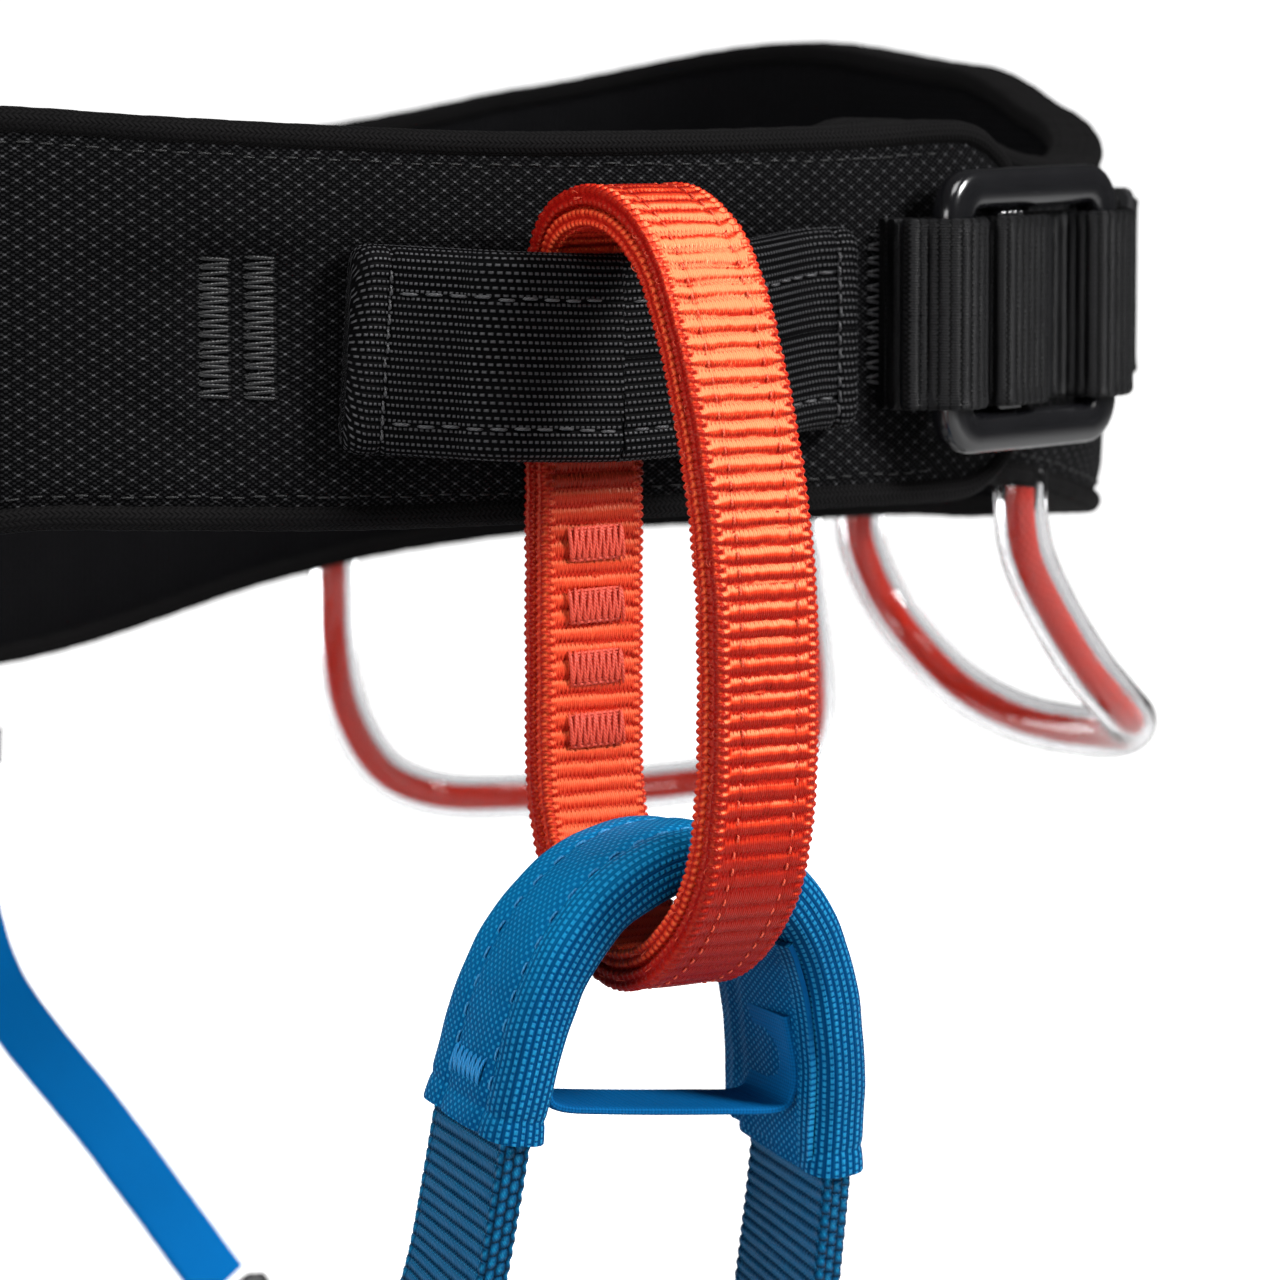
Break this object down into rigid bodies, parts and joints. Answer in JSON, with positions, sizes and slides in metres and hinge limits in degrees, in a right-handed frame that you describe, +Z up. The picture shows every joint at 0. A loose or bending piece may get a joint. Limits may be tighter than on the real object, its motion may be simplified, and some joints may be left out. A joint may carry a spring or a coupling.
{
  "type": "climbing harness",
  "caption": "Climbing sit harness: padded waist belt with double-back buckle, tie-in band, belay loop, crosspiece, padded adjustable leg loops, elastic risers, gear loops and haul loop.",
  "frame": {"origin": "on the flat middle of the belay loop's front face, halfway across its width", "axes": "+Z up as worn, -Y the way the wearer faces (the belay loop's outward normal), +X to the wearer's left"},
  "size_m": [0.3724, 0.2779, 0.3033],
  "materials": {
    "belt_fabric": "woven polyester with a small diamond pattern, matt",
    "belt_lining": "knitted spacer mesh, matt",
    "belt_foam": "closed-cell foam sheet",
    "edge_binding": "knitted edge binding, matt",
    "black_webbing": "ribbed black nylon webbing",
    "orange_webbing": "ribbed orange-red nylon webbing with a slight sheen",
    "orange_thread": "bar-tack thread",
    "blue_sleeve": "plain-woven tubular webbing sleeve",
    "blue_webbing": "ribbed nylon webbing",
    "blue_ribbon": "thin ribbon",
    "riser_elastic": "smooth elastic webbing",
    "buckle_metal": "glossy black coated aluminium",
    "black_plastic": "moulded, satin",
    "clear_tube": "clear flexible PVC tube",
    "red_cord": "braided cord"
  },
  "bodies": {
    "waist": {"waist_shell": "belt_fabric", "waist_foam": "belt_foam", "waist_lining": "belt_lining", "waist_binding_top": "edge_binding", "waist_binding_bottom": "edge_binding", "waist_webbing": "black_webbing", "waist_anchor_webbing": "black_webbing", "waist_strap": "black_webbing", "waist_buckle_frame": "buckle_metal", "tie_in_end_left": "black_webbing", "tie_in_end_right": "black_webbing", "riser_upper_left": "riser_elastic", "riser_upper_right": "riser_elastic"},
    "belay": {"tie_in_sleeve": "black_webbing", "tie_in_webbing": "black_webbing", "belay_loop_outer": "orange_webbing", "belay_loop_inner": "orange_webbing", "belay_loop_bartacks": "orange_thread"},
    "seat": {"crosspiece_webbing": "blue_webbing", "crosspiece_sleeve": "blue_sleeve", "crosspiece_strap": "blue_ribbon"},
    "waist_slider": {"waist_buckle_slider": "buckle_metal"},
    "strap_keeper": {"waist_strap_keeper": "black_plastic"},
    "haul_loop": {"haul_loop": "black_webbing"},
    "leg_left": {"leg_shell_left": "belt_fabric", "leg_foam_left": "belt_foam", "leg_lining_left": "belt_lining", "leg_binding_top_left": "edge_binding", "leg_binding_bottom_left": "edge_binding", "leg_webbing_left": "blue_webbing", "leg_strap_left": "blue_webbing", "leg_front_strap_left": "blue_webbing", "leg_buckle_frame_left": "buckle_metal", "riser_lower_left": "riser_elastic", "riser_hook_left": "black_plastic"},
    "leg_slider_left": {"leg_buckle_slider_left": "buckle_metal"},
    "riser_adjuster_left": {"riser_slider_left": "black_plastic"},
    "gear_front_left": {"gear_loop_tube_front_left": "clear_tube", "gear_loop_cord_front_left": "red_cord"},
    "gear_rear_left": {"gear_loop_tube_rear_left": "clear_tube", "gear_loop_cord_rear_left": "red_cord"},
    "leg_right": {"leg_shell_right": "belt_fabric", "leg_foam_right": "belt_foam", "leg_lining_right": "belt_lining", "leg_binding_top_right": "edge_binding", "leg_binding_bottom_right": "edge_binding", "leg_webbing_right": "blue_webbing", "leg_strap_right": "blue_webbing", "leg_front_strap_right": "blue_webbing", "leg_buckle_frame_right": "buckle_metal", "riser_lower_right": "riser_elastic", "riser_hook_right": "black_plastic"},
    "leg_slider_right": {"leg_buckle_slider_right": "buckle_metal"},
    "riser_adjuster_right": {"riser_slider_right": "black_plastic"},
    "gear_front_right": {"gear_loop_tube_front_right": "clear_tube", "gear_loop_cord_front_right": "red_cord"},
    "gear_rear_right": {"gear_loop_tube_rear_right": "clear_tube", "gear_loop_cord_rear_right": "red_cord"}
  },
  "joints": [
    {"name": "seat_swing", "type": "hinge", "parent": "waist", "child": "seat", "pos_m": [0, 0.0399, 0.059], "axis": [-1, 0, 0], "range_deg": [0, 15], "stiffness_Nm_per_rad": 2.5, "springref_deg": -6.88},
    {"name": "belay_swing", "type": "hinge", "parent": "waist", "child": "belay", "pos_m": [0, 0.0399, 0.059], "axis": [-1, 0, 0], "range_deg": [0, 15]},
    {"name": "leg_sway_left", "type": "hinge", "parent": "seat", "child": "leg_left", "pos_m": [0.0303, 0.0415, -0.0985], "axis": [-0.1245, -0.9799, 0.1557], "range_deg": [0, 12]},
    {"name": "leg_sway_right", "type": "hinge", "parent": "seat", "child": "leg_right", "pos_m": [-0.0303, 0.0415, -0.0985], "axis": [-0.1245, 0.9799, -0.1557], "range_deg": [0, 12]},
    {"name": "waist_slider_slide", "type": "slide", "parent": "waist", "child": "waist_slider", "axis": [0.9465, 0.3226, 0], "range_m": [0, 0.0022]},
    {"name": "strap_keeper_slide", "type": "slide", "parent": "waist", "child": "strap_keeper", "axis": [0.6875, 0.7262, 0], "range_m": [-0.003, 0.003]},
    {"name": "leg_slider_slide_left", "type": "slide", "parent": "leg_left", "child": "leg_slider_left", "axis": [-0.865, -0.4875, 0.1185], "range_m": [0, 0.0022]},
    {"name": "riser_adjust_left", "type": "slide", "parent": "waist", "child": "riser_adjuster_left", "axis": [0, 0, 1], "range_m": [-0.005, 0.005]},
    {"name": "gear_swing_front_left", "type": "hinge", "parent": "waist", "child": "gear_front_left", "pos_m": [0.1257, 0.137, 0.0074], "axis": [-0.3611, -0.9243, 0.1235], "range_deg": [0, 20]},
    {"name": "gear_swing_rear_left", "type": "hinge", "parent": "waist", "child": "gear_rear_left", "pos_m": [0.11106, 0.22789, -0.00525], "axis": [0.7391, -0.6628, 0.1199], "range_deg": [0, 20]},
    {"name": "leg_slider_slide_right", "type": "slide", "parent": "leg_right", "child": "leg_slider_right", "axis": [0.865, -0.4875, 0.1185], "range_m": [0, 0.0022]},
    {"name": "riser_adjust_right", "type": "slide", "parent": "waist", "child": "riser_adjuster_right", "axis": [0, 0, 1], "range_m": [-0.005, 0.005]},
    {"name": "gear_swing_front_right", "type": "hinge", "parent": "waist", "child": "gear_front_right", "pos_m": [-0.1274, 0.13346, 0.0074], "axis": [-0.3133, 0.9424, -0.1175], "range_deg": [0, 20]},
    {"name": "gear_swing_rear_right", "type": "hinge", "parent": "waist", "child": "gear_rear_right", "pos_m": [-0.11106, 0.22789, -0.00525], "axis": [0.7391, 0.6628, -0.1199], "range_deg": [0, 20]},
    {"name": "haul_loop_swing", "type": "hinge", "parent": "waist", "child": "haul_loop", "pos_m": [0, 0.2736, 0.04], "axis": [1, 0, 0], "range_deg": [0, 80]}
  ],
  "couplings": [
    {"joint": "belay_swing", "follows": "seat_swing", "ratio": 1}
  ]
}
